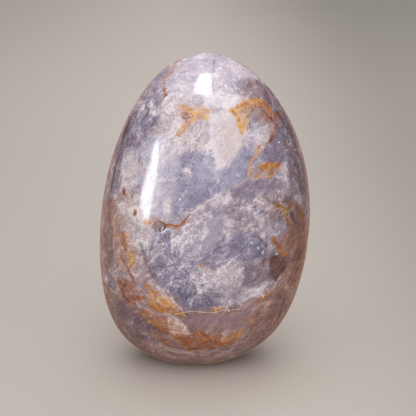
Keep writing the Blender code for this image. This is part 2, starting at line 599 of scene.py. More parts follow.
FACE_VEILS = (
    # width in mm, strength, tone, warm, marks by pixel
    (1.8, 0.90, 0.90, 0.22, (188, 217), (198, 210), (208, 205), (220, 199), (234, 199)),
    (2.0, 0.75, 0.90, 0.22, (182, 230), (190, 225), (202, 219), (214, 212)),
    (1.4, 0.90, 0.90, 0.22, (207, 222), (204, 234), (200, 246)),
    (3.0, 0.50, 0.90, 0.22, (190, 232), (194, 244), (190, 256)),
    (1.8, 1.00, 1.00, 0.45, (184, 171), (188, 169), (191, 172)),
    (2.2, 0.60, 0.90, 0.22, (184, 262), (192, 272), (196, 284)),
    (1.4, 0.80, 0.76, 0.05, (251, 113), (252, 124), (249, 136), (243, 148)),
    (1.3, 0.80, 0.80, 0.22, (283, 163), (286, 172), (289, 184)),
    (2.0, 0.80, 0.90, 0.22, (208, 288), (216, 276), (226, 266), (234, 260)),
    (2.2, 0.90, 0.94, 0.22, (226, 284), (233, 276), (240, 270)),
    (1.8, 0.30, 0.92, 0.22, (218, 288), (226, 283), (236, 272)),
    (1.2, 0.70, 0.90, 0.22, (217, 262), (224, 256), (231, 252)),
    (2.2, 0.50, 0.90, 0.22, (236, 298), (248, 294), (262, 286)),
    (2.5, 0.60, 0.84, 0.22, (222, 218), (232, 226), (230, 240)),
    (1.4, 0.60, 0.90, 0.22, (246, 206), (258, 216), (268, 230)),
    (3.0, 0.60, 0.92, 0.22, (172, 80), (184, 74), (192, 88)),
    (2.0, 0.50, 0.90, 0.22, (222, 78), (226, 92), (232, 100)),
    (1.5, 0.95, 1.00, 0.22, (151, 104), (154, 110), (149, 120)),
    (1.0, 0.80, 0.95, 0.22, (143, 106), (144, 111)),
    (1.6, 0.60, 0.84, 0.22, (144, 238), (150, 240), (158, 238)),
    (1.8, 0.75, 0.86, 0.22, (137, 220), (146, 216), (156, 222), (168, 222)),
    (2.0, 0.50, 0.84, 0.55, (126, 205), (132, 222), (140, 236)),
    (1.2, 0.60, 0.94, 0.40, (186, 140), (196, 142), (206, 147)),
    (1.2, 0.60, 0.94, 0.50, (196, 124), (204, 118), (211, 118)),
    (1.0, 0.60, 0.92, 0.45, (178, 138), (188, 134)),
    (0.8, 0.95, 1.00, 0.00, (213, 118), (212, 130), (212, 144), (216, 156), (218, 166)),
    (0.5, 0.80, 0.96, 0.10, (217, 160), (218, 170), (218, 181)),
    (1.4, 0.50, 0.84, 0.35, (252, 200), (262, 206), (272, 204)),
    (0.8, 0.70, 1.00, 0.20, (259, 141), (264, 136), (266, 128)),
    (3.4, 0.90, 0.96, 0.75, (150, 294), (164, 300), (178, 308)),
    (2.4, 0.60, 0.86, 0.20, (196, 262), (204, 266), (206, 274)),
    (2.4, 0.60, 0.80, 0.10, (226, 222), (228, 232), (224, 244)),
    (2.4, 0.60, 0.86, 0.40, (120, 214), (128, 222), (138, 226)),
)
lay_veils(FACE_VEILS)
print("veils of the face:", len(FACE_VEILS))

# %% [markdown]
# ### Smoke
#
# Some cracks and the small hollows that escaped the wheel are dark, and broad streaks darken the
# face near its left and right edges. A separate coat darkens them at the end, on top of every tone below
# it.

# %% Smoke
# The share of a streak's width over which it is at its full strength
SMOKE_CORE = 0.5


def lay_smoke(rows, on=seen):
    """Lays one dark streak per row: width, strength and fade, then the marks."""
    for width, strength, fade, *marks in rows:
        crest("smoke", on(*marks), width * SMOKE_CORE, fade, strength)


FACE_SMOKE = (
    # width in mm, strength, fade in mm, marks by pixel
    (0.5, 0.70, 1.0, (214, 60), (213, 66), (214, 72)),
    # These four streaks darken the face along its left edge
    (1.8, 0.78, 1.4, (129, 121), (125, 131), (123, 142)),
    (1.6, 0.60, 1.4, (121, 146), (118, 160), (115, 172)),
    (1.8, 0.85, 1.4, (115, 168), (113, 180), (111, 190)),
    (1.4, 0.50, 1.4, (111, 196), (110, 210), (110, 222)),
    (1.4, 0.30, 1.4, (141, 136), (138, 148)),
    (1.5, 0.50, 1.4, (148, 114), (154, 122)),
    (1.2, 0.45, 1.4, (153, 90), (157, 100)),
    # These five streaks darken the face along its right edge
    (1.6, 0.65, 1.4, (266, 86), (276, 98), (284, 112)),
    (2.2, 0.70, 1.4, (286, 118), (293, 138), (299, 156)),
    (2.2, 0.50, 1.4, (290, 150), (298, 170), (302, 192)),
    (1.6, 0.50, 1.4, (288, 190), (294, 200), (298, 212)),
    (1.6, 0.75, 1.4, (291, 214), (295, 222)),
    (1.4, 0.60, 1.4, (284, 300), (282, 308), (280, 316)),
    (1.1, 0.60, 1.4, (290, 276), (288, 284)),
    (1.0, 0.50, 1.4, (292, 262), (297, 256), (302, 252)),
    (1.6, 0.60, 1.4, (142, 247), (147, 262), (153, 274)),
    (2.4, 0.48, 2.4, (156, 252), (160, 259), (162, 265)),
    (1.6, 0.45, 1.4, (156, 276), (166, 288), (176, 300)),
    (1.6, 0.35, 1.4, (188, 280), (196, 292)),
    (1.0, 0.55, 1.4, (138, 232), (142, 229), (147, 227)),
    (1.0, 0.65, 1.4, (262, 262), (270, 256), (274, 250)),
    (1.2, 0.45, 1.4, (232, 244), (240, 250), (246, 258)),
    (1.0, 0.40, 1.4, (215, 249), (225, 244)),
    (1.6, 0.60, 1.4, (196, 349), (206, 347), (216, 349)),
    (1.0, 0.60, 1.4, (186, 341), (188, 345)),
    (1.2, 0.50, 1.4, (150, 325), (160, 330), (170, 336), (182, 341)),
    (2.0, 0.40, 1.4, (120, 305), (130, 318), (142, 330)),
    (1.0, 0.50, 1.4, (272, 162), (276, 168), (270, 178)),
    (1.2, 0.45, 1.4, (283, 206), (286, 198)),
    (0.5, 0.80, 0.9, (251, 230), (259, 236), (267, 245)),
    (0.9, 0.90, 0.7, (155, 232), (161, 232), (165, 227), (163, 224)),
    (1.2, 0.40, 1.4, (243, 285), (251, 279), (259, 274)),
    (0.9, 0.80, 1.0, (276, 201), (280, 206), (284, 211)),
    (0.9, 0.90, 1.0, (293, 201), (290, 207), (286, 212)),
    (0.9, 0.85, 1.0, (286, 217), (287, 227)),
    (1.0, 0.40, 1.4, (211, 298), (220, 294)),
    (1.6, 0.42, 1.4, (182, 338), (196, 343), (212, 344), (228, 342)),
    (1.4, 0.40, 1.4, (150, 318), (160, 324), (170, 330)),
)
lay_smoke(FACE_SMOKE)
print("dark streaks of the face:", len(FACE_SMOKE))

# %% [markdown]
# ### Hollows the wheel left
#
# Beside the rusty crack lies a real dent, where a grain broke out. Paint cannot bend a
# reflection, so the skin itself is pushed in here, by half a millimetre at the middle. Two
# shallower dents lie on the right-hand side and behind.

# %% Hollows
DENT_RAGGED = 0.3
new_coat("hollow", 0.0)


def dent(deep, line, fade):
    """Marks where the skin is to be pushed in, this deep in millimetres."""
    deepen("hollow", line, fade, deep, ragged=DENT_RAGGED)


dent(0.55, HOLLOW, 1.6)
dent(0.35, turned((225, 63), (230, 68), (237, 63), (233, 58), (226, 58)), 1.8)
dent(0.30, turned((88, 40), (92, 43), (97, 40), (93, 36)), 1.8)
print("dented points:", int((coats["hollow"] > 0.05).sum()))

# %% [markdown]
# ### The skirt
#
# One long crack runs all the way round near the foot. Below it the stone is painted darker
# and browner, partly its own colour and partly painted shade with warm light bounced from below.
# The crack's height is kept for every angle, so that the brown can stop exactly at it.

# %% The edge of the skirt
SKIRT_STRENGTH = 0.9
SKIRT_FADE = 1.0
# Darker and browner below the crack: the stone's colour plus painted shade and warm bounce light
SKIRT_COLOUR_AND_SHADE = {"tone": 0.60, "warm": 0.85, "cloud": 0.7}
SKIRT_PIXELS = (
    (108, 284), (114, 292), (122, 299), (134, 306), (150, 312), (166, 315), (176, 314), (190, 312),
    (213, 312), (230, 310), (246, 306), (258, 299), (270, 293), (280, 280), (290, 262),
)
# The same edge on the other sides, by degrees round and height
SKIRT_BEHIND = (
    (100, 34), (112, 30.5), (125, 27), (138, 26), (150, 23.8), (165, 23), (180, 21.5), (195, 22.8),
    (210, 23.6), (225, 26), (240, 26.8), (262, 27),
)


def sort_round(places):
    """The degrees round and the heights of these places, in order round the stone."""
    turns = np.degrees(np.arctan2(places[:, 0], -places[:, 1]))
    order = np.argsort(turns)
    return turns[order], places[order, 2]


edge_in_front, _ = seen(*SKIRT_PIXELS)
edge_behind, _ = turned(*SKIRT_BEHIND)
edge_turns, edge_heights = sort_round(np.vstack([edge_in_front, edge_behind]))
over_skirt = height - np.interp(around, edge_turns, edge_heights, period=360)
lay(SKIRT_STRENGTH * ease(0.5 - over_skirt / SKIRT_FADE), SKIRT_COLOUR_AND_SHADE)

SKIRT_AREAS = (
    # tone, warm, cloud, fade in mm, strength, raggedness, corners by pixel
    (0.615, 0.72, 0.35, 2.5, 0.85, 1.0, (184, 316), (212, 316), (250, 310), (256, 322), (236, 330),
     (200, 328), (186, 326)),
    (0.55, 0.62, 0.65, 3.0, 0.80, 1.0, (112, 296), (124, 304), (146, 320), (166, 338), (160, 346),
     (134, 336), (118, 318)),
    (0.59, 0.92, 0.75, 3.0, 0.80, 1.0, (256, 306), (276, 288), (290, 268), (296, 280), (286, 308),
     (268, 332), (252, 336)),
    (0.66, 0.80, 0.6, 2.5, 0.80, 1.0, (150, 350), (180, 356), (215, 356), (250, 346), (240, 356),
     (200, 363), (165, 358)),
)
SKIRT_VEILS = (
    # width in mm, strength, tone, warm, marks by pixel
    (3.0, 0.85, 0.90, 0.85, (168, 316), (178, 326), (190, 336)),
    (2.6, 0.70, 0.78, 0.85, (152, 314), (164, 322), (176, 334)),
    (2.4, 0.50, 0.75, 0.90, (214, 334), (230, 334), (242, 330)),
    (2.0, 0.55, 0.80, 0.80, (196, 337), (210, 339), (226, 337)),
    (1.6, 0.45, 0.70, 0.95, (252, 318), (262, 310), (272, 304)),
    (2.2, 0.80, 0.77, 0.85, (166, 346), (180, 352), (198, 355)),
)
lay_areas(SKIRT_AREAS)
lay_veils(SKIRT_VEILS)
print("skirt edge between", round(edge_heights.min(), 1), "and", round(edge_heights.max(), 1), "mm up")

# %% [markdown]
# ### Rust
#
# Iron water ran along the cracks and dried to ochre and brown. A rust mark sets how much rust
# there is and how deep its brown; the material breaks its edge into grains, so a stroke here only
# has to lie along the stain.

# %% Rust of the face
# The share of a mark's width over which the rust is at its full strength
RUST_CORE = 0.4
# How fast the depth of the brown reaches its full value where rust begins
STAIN_RISE = 3.0
RUST_RISE = 2.0


def lay_stains(rows, on=seen):
    """Rusts the fine cracks of one area per row: strength, depth and fade, then the corners."""
    for strength, depth, fade, *corners in rows:
        weight = deepen("rust", on(*corners), fade, strength)
        lay(ease(weight * STAIN_RISE), {"rust_depth": depth})


def lay_rust(rows, on=seen):
    """Lays rust along one crack per row: width, strength, depth and fade, then the marks."""
    for width, strength, depth, fade, *marks in rows:
        ridge = crest("rust", on(*marks), width * RUST_CORE, fade, strength)
        lay(ease(ridge * RUST_RISE), {"rust_depth": depth})


FACE_STAINS = (
    # strength, depth from ochre 0 to dark brown 1, fade in mm, corners by pixel
    (0.50, 0.26, 2.5, (176, 104), (192, 108), (212, 110), (206, 118), (196, 120), (184, 132),
     (174, 136), (182, 120)),
    (0.50, 0.24, 2.5, (231, 111), (247, 99), (264, 98), (270, 108), (256, 110), (248, 132), (239, 132),
     (234, 116)),
    (0.36, 0.70, 2.5, (258, 108), (272, 108), (280, 118), (272, 124), (260, 120)),
    (0.18, 0.50, 2.5, (262, 120), (276, 126), (270, 142), (260, 140)),
    (0.58, 0.38, 2.5, (256, 168), (266, 163), (281, 163), (276, 171), (262, 172)),
    (0.08, 0.22, 2.5, (274, 200), (292, 202), (292, 226), (280, 226)),
    (0.18, 0.60, 2.5, (270, 238), (286, 236), (298, 230), (298, 246), (288, 254), (276, 254)),
    (0.16, 0.80, 2.5, (284, 256), (298, 250), (292, 286), (276, 300), (262, 304), (272, 288)),
    (0.44, 0.65, 2.5, (116, 276), (134, 282), (142, 300), (130, 306), (118, 296)),
    (0.46, 0.30, 2.5, (144, 286), (158, 290), (180, 308), (172, 316), (150, 306)),
    (0.24, 0.35, 2.5, (112, 210), (126, 215), (138, 250), (134, 280), (116, 270)),
    (0.38, 0.40, 2.5, (140, 308), (170, 318), (188, 334), (176, 342), (156, 330)),
    (0.42, 0.45, 2.5, (176, 336), (196, 332), (222, 334), (244, 328), (238, 342), (210, 350), (190, 352)),
    (0.32, 0.85, 1.6, (296, 206), (304, 204), (306, 240), (302, 268), (293, 292), (290, 276), (298, 240)),
    (0.24, 0.35, 2.5, (240, 318), (262, 308), (276, 294), (270, 312), (248, 330)),
    (0.22, 0.45, 2.5, (140, 158), (148, 162), (146, 178), (140, 174)),
    (0.24, 0.60, 2.5, (158, 64), (176, 56), (180, 66), (166, 84), (158, 92)),
)
FACE_RUST = (
    # width in mm, strength, depth, fade in mm, marks by pixel
    (0.5, 0.95, 0.20, 1.2, (182, 107), (186, 109), (190, 112), (193, 116), (191, 121)),
    (0.5, 0.85, 0.25, 1.2, (191, 121), (187, 125), (181, 129), (176, 134)),
    (1.4, 0.62, 0.75, 1.2, (183, 116), (186, 121)),
    (0.6, 0.45, 0.10, 1.2, (193, 114), (200, 113), (207, 112)),
    (0.4, 0.50, 0.15, 1.2, (203, 108), (206, 113), (205, 118)),
    (0.6, 0.90, 0.20, 1.2, (229, 111), (235, 109), (240, 106), (245, 101)),
    (0.8, 0.80, 0.15, 1.2, (234, 112), (238, 118), (241, 124), (242, 132)),
    (0.9, 0.95, 0.20, 1.2, (245, 101), (250, 102), (254, 101), (259, 99), (263, 103)),
    (0.6, 0.90, 0.40, 1.2, (263, 103), (267, 107), (270, 111)),
    (1.6, 0.60, 0.85, 1.2, (262, 110), (268, 115), (272, 119)),
    (0.6, 0.70, 0.60, 1.2, (274, 112), (278, 114), (281, 117)),
    (0.4, 0.60, 0.60, 1.2, (280, 120), (276, 128), (272, 136), (266, 143)),
    (0.5, 0.80, 0.20, 1.2, (258, 145), (257, 151), (255, 157)),
    (0.4, 0.60, 0.15, 1.2, (254, 158), (250, 164), (248, 172)),
    (1.2, 0.95, 0.42, 1.0, (260, 167), (266, 166), (273, 167), (279, 165)),
    (0.5, 0.50, 0.30, 1.2, (248, 173), (252, 178), (258, 178)),
    (0.5, 0.70, 0.40, 1.2, (279, 167), (275, 173), (269, 177)),
    (1.0, 0.62, 0.16, 1.2, (277, 202), (280, 207), (285, 212)),
    (1.2, 0.62, 0.16, 1.2, (292, 202), (289, 208), (285, 213)),
    (1.1, 0.72, 0.20, 1.2, (285, 212), (286, 219), (287, 226)),
    (0.9, 0.90, 0.52, 1.2, (273, 239), (277, 245), (281, 251), (285, 255)),
    (0.9, 0.80, 0.50, 1.2, (284, 237), (282, 244), (280, 250)),
    (0.4, 0.45, 0.70, 1.2, (303, 230), (299, 244), (296, 254)),
    (0.4, 0.65, 0.35, 1.2, (140, 160), (143, 166), (144, 173)),
    (0.6, 0.90, 0.80, 1.2, (124, 191), (124, 195)),
    (0.5, 0.80, 0.70, 1.2, (136, 210), (136, 214)),
    (0.5, 0.60, 0.05, 1.2, (113, 204), (115, 213), (118, 222)),
    (0.7, 0.75, 0.50, 1.2, (123, 232), (124, 240), (126, 248)),
    (0.8, 0.95, 0.20, 1.2, (131, 252), (131, 260), (131, 267)),
    (0.4, 0.60, 0.80, 1.2, (121, 257), (125, 262), (129, 270), (133, 278), (135, 284)),
    (0.8, 0.85, 0.75, 1.2, (119, 283), (122, 287), (127, 286)),
    (0.8, 0.90, 0.75, 1.2, (121, 291), (124, 297), (129, 300), (134, 303)),
    (0.7, 0.85, 0.55, 1.2, (133, 302), (137, 299), (142, 298)),
    (0.7, 0.90, 0.30, 1.2, (147, 285), (149, 290), (155, 291), (160, 296)),
    (0.8, 0.90, 0.35, 1.2, (148, 300), (153, 304), (158, 308), (164, 312)),
    (0.8, 0.90, 0.25, 1.2, (162, 300), (168, 306), (174, 312), (182, 313)),
    (0.9, 0.70, 0.20, 1.2, (145, 315), (150, 321), (158, 324)),
    (0.8, 0.55, 0.35, 1.2, (154, 332), (158, 337)),
    (0.6, 0.60, 0.40, 1.2, (163, 339), (167, 343)),
    (0.8, 0.75, 0.50, 1.2, (180, 338), (186, 345), (192, 350)),
    (0.9, 0.75, 0.45, 1.2, (188, 341), (198, 341), (208, 341)),
    (0.8, 0.80, 0.55, 1.2, (196, 332), (206, 336), (212, 344)),
    (1.0, 0.80, 0.50, 1.2, (212, 340), (224, 343), (234, 342)),
    (0.8, 0.65, 0.15, 1.2, (232, 338), (242, 332)),
    (0.5, 0.80, 0.30, 1.2, (214, 311), (222, 310)),
    (0.4, 0.75, 0.25, 0.9, (203, 263), (204, 267)),
    (0.7, 0.60, 0.60, 1.2, (163, 88), (165, 95)),
    (0.5, 0.70, 0.50, 1.2, (176, 62), (172, 67)),
    (0.5, 1.00, 0.25, 0.9, (161, 223), (166, 226), (171, 225), (177, 226)),
    (0.4, 1.00, 0.40, 0.8, (177, 226), (182, 224), (186, 221)),
    (0.2, 0.85, 0.40, 0.6, (186, 221), (190, 217), (194, 213)),
    (0.6, 0.65, 0.15, 1.2, (144, 222), (150, 221), (158, 221)),
    (0.5, 0.60, 0.30, 1.2, (258, 300), (266, 295), (274, 288)),
)
lay_stains(FACE_STAINS)
lay_rust(FACE_RUST)
print("stains of the face:", len(FACE_STAINS), "and rusty cracks:", len(FACE_RUST))

# %% [markdown]
# ### Hairlines
#
# A healed crack is a line a few tenths of a millimetre wide, finer than the mesh. The distance
# to its nearest line is kept with its side, plus on the left and minus on the right, because
# that number runs smoothly through zero on the line and stays sharp between the points.

# %% Hairlines of the face
HAIRLINE_REACH = 3.0

coats["line_gap"] = np.full(len(points), HAIRLINE_REACH)
for name in ("line_side", "line_rust", "line_width"):
    new_coat(name, 0.0)


def lay_hairlines(rows, on=seen):
    """Lays one fine crack per row: width, rust from milk-white 0 to rusty 1, raggedness and marks."""
    for width, rusty, ragged, *marks in rows:
        near, distance, side, _ = to_line(on(*marks), wandered(ragged), HAIRLINE_REACH)
        closer = distance < coats["line_gap"][near]
        chosen = near[closer]
        coats["line_gap"][chosen] = distance[closer]
        coats["line_side"][chosen] = side[closer]
        coats["line_rust"][chosen] = rusty
        coats["line_width"][chosen] = width


FACE_HAIRLINES = (
    # width in mm, rust, raggedness, marks by pixel
    (0.45, 0.9, 0.12, (158, 221), (166, 225), (170, 224), (175, 226), (180, 225), (184, 221), (191, 214)),
    (0.50, 0.15, 0.12, (191, 214), (196, 210), (203, 205), (210, 200), (218, 197), (222, 194)),
    (0.34, 0.45, 0.12, (222, 194), (230, 190), (237, 186), (243, 183), (248, 178), (249, 174)),
    (0.30, 0.40, 0.12, (248, 170), (250, 163), (254, 158), (257, 150)),
    (0.36, 0.35, 0.12, (248, 173), (251, 168), (256, 166), (264, 163)),
    (0.30, 0.45, 0.12, (250, 178), (256, 179), (263, 177), (271, 176), (276, 172), (281, 164)),
    (1.00, 0.0, 0.12, (213, 118), (211, 130), (212, 143), (216, 154), (218, 164)),
    (0.34, 0.1, 0.12, (187, 139), (195, 142), (203, 146)),
    (0.30, 0.1, 0.12, (206, 138), (202, 144), (204, 150)),
    (0.34, 0.30, 0.12, (248, 120), (249, 130), (246, 140), (240, 148)),
    (0.26, 0.0, 0.12, (262, 132), (259, 138), (256, 142)),
    (0.34, 0.0, 0.12, (280, 166), (284, 172), (287, 180), (288, 187)),
    (0.26, 0.05, 0.12, (236, 155), (230, 163), (224, 172), (217, 181)),
    (0.28, 0.05, 0.12, (221, 158), (226, 163), (229, 166)),
    (0.36, 0.30, 0.12, (176, 314), (190, 311), (200, 312), (213, 313), (220, 311), (230, 310),
     (240, 309)),
    (0.36, 0.50, 0.12, (240, 309), (246, 306), (252, 301), (258, 298), (264, 295), (270, 292)),
    (0.30, 0.30, 0.12, (110, 288), (114, 292), (119, 294), (122, 299)),
    (0.30, 0.0, 0.12, (206, 222), (204, 234), (200, 248)),
    (0.30, 0.85, 0.12, (151, 324), (158, 326), (168, 332), (175, 337), (183, 339)),
    (0.34, 0.0, 0.12, (234, 75), (238, 71)),
    (0.34, 0.0, 0.12, (231, 69), (232, 72)),
    (0.34, 0.0, 0.12, (233, 83), (236, 88)),
    (0.26, 0.2, 0.12, (142, 229), (146, 226), (152, 224)),
    (0.24, 1.0, 0.5, (121, 257), (127, 266), (133, 278), (136, 286)),
)
lay_hairlines(FACE_HAIRLINES)
print("hairlines of the face:", len(FACE_HAIRLINES))

# %% [markdown]
# ### Glints
#
# Chips just under the polish catch the lamp as white sparks of less than a millimetre, and
# here they are painted highlights: white laid into the colour. Their angle is left to a seeded
# dice, so they differ from each other but never from run to run.

# %% Glints of the face
GLINT_WIDTH = 0.1
GLINT_FADE = 0.5
BRIGHT_LENGTH = 2.0
FAINT_LENGTH = 0.8
dice = random.Random(7)


def flash(line):
    """A painted highlight: a short white line where a chip or a crack inside the stone catches the lamp.
    """
    crest("glint", line, GLINT_WIDTH, GLINT_FADE, 1.0, ragged=0.0)


def glint(length, column, row):
    """A painted flash at a pixel, this many pixels long and turned at random."""
    turn = dice.uniform(0.0, math.pi)
    aside, upward = length / 2 * math.cos(turn), length / 2 * math.sin(turn)
    flash(seen((column - aside, row - upward), (column + aside, row + upward)))


BRIGHT_GLINTS = ((258, 248), (258, 291), (263, 252), (189, 172), (290, 142), (263, 296), (252, 243))
FAINT_GLINTS = (
    (187, 168), (191, 176), (186, 191), (180, 199), (265, 131), (263, 136), (279, 142), (296, 150),
    (279, 191), (271, 246), (277, 254), (218, 210), (229, 311), (264, 295), (256, 200), (246, 262),
    (243, 268), (150, 107), (143, 110), (236, 72), (171, 282), (168, 291), (198, 272), (190, 256),
    (163, 244), (178, 243),
)
# The long left edge of the pale wedge is a bright milk-white vein, drawn with the glint coat, wider and
# fainter
WEDGE_EDGE = seen((213, 119), (212, 130), (213, 142), (216, 154), (217, 163))
crest("glint", WEDGE_EDGE, 0.3, 0.7, 0.40, ragged=0.0)
for column, row in BRIGHT_GLINTS:
    glint(BRIGHT_LENGTH, column, row)
for column, row in FAINT_GLINTS:
    glint(FAINT_LENGTH, column, row)
print("glints:", len(BRIGHT_GLINTS) + len(FAINT_GLINTS))

# %% [markdown]
# ### Sides, back and crown
#
# The photo shows one side only. The rest is made up of the same parts in the same measure: two
# calm panes, cloud, a few dark hollows, rust along the cracks and a rusty band over the skirt.
# Places are now pairs of degrees round and millimetres up, with 90 on the right-hand side, 180
# behind and 270 on the left.

# %% Panes and clouds round the back
AREAS_BEHIND = (
    # tone, warm, cloud, fade in mm, strength, raggedness, corners by degrees and height
    (0.80, 0.40, 1.0, 3.0, 0.85, 1.0, (95, 62), (112, 80), (128, 84), (136, 66), (118, 54)),
    (0.54, 0.25, 1.0, 3.0, 0.80, 1.0, (72, 70), (92, 84), (104, 72), (96, 54), (78, 50)),
    (0.80, 0.30, 1.0, 3.0, 0.85, 1.0, (142, 84), (168, 92), (196, 88), (190, 70), (160, 66), (144, 70)),
    (0.655, 0.03, 0.42, 2.6, 0.85, 1.0, (150, 68), (176, 72), (198, 64), (196, 48), (172, 40), (152, 50)),
    (0.59, 0.10, 0.7, 2.4, 0.80, 1.0, (176, 42), (198, 47), (208, 36), (196, 29), (178, 30)),
    (0.61, 0.08, 1.3, 3.0, 0.85, 1.0, (204, 80), (224, 86), (240, 72), (232, 56), (212, 58)),
    (0.78, 0.45, 1.0, 2.6, 0.80, 1.0, (214, 56), (236, 54), (248, 42), (236, 32), (216, 36)),
    (0.66, 0.20, 1.0, 2.6, 0.80, 1.0, (244, 76), (262, 82), (276, 70), (268, 54), (250, 56)),
    (0.72, 0.70, 1.0, 2.6, 0.80, 1.0, (250, 50), (270, 52), (284, 40), (276, 30), (256, 32)),
    (0.74, 0.55, 1.0, 2.6, 0.80, 1.0, (116, 50), (134, 54), (142, 38), (128, 28), (112, 36)),
    (0.56, 0.95, 0.8, 2.6, 0.85, 1.0, (74, 46), (92, 50), (108, 42), (104, 30), (80, 32)),
    (0.50, 0.12, 0.5, 1.0, 0.90, 0.5, (148, 36), (158, 42), (170, 37), (164, 29), (150, 29)),
    (0.43, 0.40, 0.6, 1.0, 0.85, 0.5, (222, 64), (230, 70), (240, 64), (234, 56), (224, 57)),
    (0.88, 0.20, 0.7, 2.6, 0.60, 1.0, (84, 94), (120, 97), (160, 97), (150, 90), (110, 88)),
    (0.76, 0.15, 0.8, 2.6, 0.60, 1.0, (200, 94), (240, 97), (280, 96), (262, 88), (226, 87)),
)
lay_areas(AREAS_BEHIND, turned)
print("areas behind:", len(AREAS_BEHIND))

# %% [markdown]
# ### Streaks behind
#
# The same veils and dark cracks as on the face. No photo says where they lie, so they are
# spread freely, and only their number and their sizes follow the face.

# %% Veils and smoke round the back
VEILS_BEHIND = (
    # width in mm, strength, tone, warm, marks by degrees and height
    (1.8, 0.85, 0.90, 0.22, (140, 46), (152, 54), (160, 66), (172, 74)),
    (2.4, 0.70, 0.90, 0.22, (166, 32), (184, 38), (204, 50), (212, 60)),
    (1.6, 0.85, 0.90, 0.22, (196, 66), (204, 74), (206, 86)),
    (2.2, 0.75, 0.90, 0.22, (120, 62), (128, 72), (130, 82)),
    (1.4, 0.80, 0.90, 0.22, (228, 34), (238, 44), (246, 56)),
    (2.6, 0.65, 0.90, 0.22, (218, 74), (228, 80), (236, 78)),
    (1.6, 0.75, 0.90, 0.22, (252, 60), (262, 68), (266, 78)),
    (1.4, 0.70, 0.90, 0.22, (100, 56), (106, 66), (108, 76)),
    (2.0, 0.60, 0.90, 0.22, (92, 36), (102, 40), (112, 38)),
    (1.2, 0.80, 0.90, 0.22, (176, 56), (184, 60), (192, 58)),
    (2.0, 0.60, 0.90, 0.22, (148, 76), (160, 82), (176, 84)),
    (2.0, 0.60, 0.90, 0.22, (264, 36), (272, 42), (278, 50)),
)
SMOKE_BEHIND = (
    # width in mm, strength, fade in mm, marks by degrees and height
    (1.8, 0.65, 1.4, (80, 84), (84, 74), (84, 64)),
    (1.4, 0.60, 1.4, (116, 84), (118, 76), (114, 68)),
    (1.6, 0.60, 1.4, (138, 62), (142, 54), (140, 46)),
    (1.2, 0.70, 1.4, (206, 52), (214, 48), (220, 40)),
    (2.0, 0.55, 1.4, (212, 82), (220, 76), (222, 68)),
    (1.2, 0.65, 1.4, (244, 66), (250, 60), (250, 52)),
    (1.6, 0.55, 1.4, (276, 76), (280, 66), (280, 56)),
    (1.0, 0.60, 1.4, (186, 76), (190, 84), (188, 92)),
    (1.6, 0.55, 1.4, (150, 18), (170, 14), (190, 15)),
    (1.6, 0.50, 1.4, (230, 16), (246, 20), (262, 22)),
    (1.4, 0.55, 1.4, (96, 24), (108, 20), (122, 18)),
)
lay_veils(VEILS_BEHIND, turned)
lay_smoke(SMOKE_BEHIND, turned)
print("veils behind:", len(VEILS_BEHIND), "and dark streaks:", len(SMOKE_BEHIND))

# %% [markdown]
# ### Rust behind
#
# Rust follows water, and water runs down: the stains lie in cracks and gather over the skirt.

# %% Rust round the back
STAINS_BEHIND = (
    # strength, depth, fade in mm, corners by degrees and height
    (0.34, 0.25, 2.5, (136, 78), (150, 86), (166, 82), (160, 74), (144, 70)),
    (0.30, 0.60, 2.5, (84, 46), (98, 50), (110, 42), (100, 34), (86, 36)),
    (0.34, 0.35, 2.5, (112, 33), (134, 31), (152, 29), (150, 21), (128, 21), (112, 25)),
    (0.32, 0.45, 2.5, (196, 29), (220, 30), (240, 33), (236, 22), (212, 20)),
    (0.30, 0.60, 2.5, (254, 34), (270, 38), (282, 34), (276, 26), (258, 26)),
    (0.32, 0.25, 2.5, (228, 84), (242, 88), (254, 80), (244, 74)),
)
RUST_BEHIND = (
    # width in mm, strength, depth, fade in mm, marks by degrees and height
    (0.6, 0.95, 0.25, 1.2, (138, 84), (146, 80), (152, 78), (158, 72)),
    (0.8, 0.90, 0.20, 1.2, (152, 78), (160, 82), (168, 80), (174, 76)),
    (0.5, 0.80, 0.45, 1.2, (158, 72), (156, 66), (150, 60)),
    (0.5, 0.90, 0.50, 1.2, (198, 49), (206, 46), (214, 47), (222, 44)),
    (0.5, 0.90, 0.55, 1.2, (222, 44), (230, 40), (238, 41)),
    (0.6, 0.80, 0.30, 1.2, (230, 82), (238, 80), (246, 82)),
    (0.5, 0.75, 0.50, 1.2, (240, 80), (244, 74), (250, 70)),
    (0.6, 0.85, 0.60, 1.2, (86, 52), (92, 46), (100, 44), (108, 38)),
    (0.5, 0.80, 0.70, 1.2, (92, 46), (90, 38), (94, 32)),
    (0.8, 0.85, 0.35, 1.2, (112, 30), (122, 27), (132, 28), (142, 24)),
    (0.7, 0.85, 0.50, 1.2, (132, 28), (138, 32), (146, 33)),
    (0.8, 0.75, 0.40, 1.2, (150, 24), (164, 21), (178, 22)),
    (0.8, 0.80, 0.45, 1.2, (198, 24), (210, 26), (224, 25), (236, 28)),
    (0.6, 0.80, 0.60, 1.2, (210, 26), (216, 32), (222, 34)),
    (0.8, 0.80, 0.65, 1.2, (252, 30), (262, 31), (272, 29)),
    (0.6, 0.75, 0.75, 1.2, (262, 31), (266, 38), (268, 46)),
    (0.5, 0.70, 0.50, 1.2, (266, 56), (270, 62), (270, 70)),
    (0.5, 0.80, 0.60, 1.2, (106, 60), (112, 56), (114, 50)),
    (0.5, 0.75, 0.35, 1.2, (182, 66), (188, 62), (190, 56)),
)
lay_stains(STAINS_BEHIND, turned)
lay_rust(RUST_BEHIND, turned)
print("stains behind:", len(STAINS_BEHIND), "and rusty cracks:", len(RUST_BEHIND))

# %% [markdown]
# ### Hairlines behind
#
# The fine cracks wander more here than on the face, where each one had to lie on its picture.

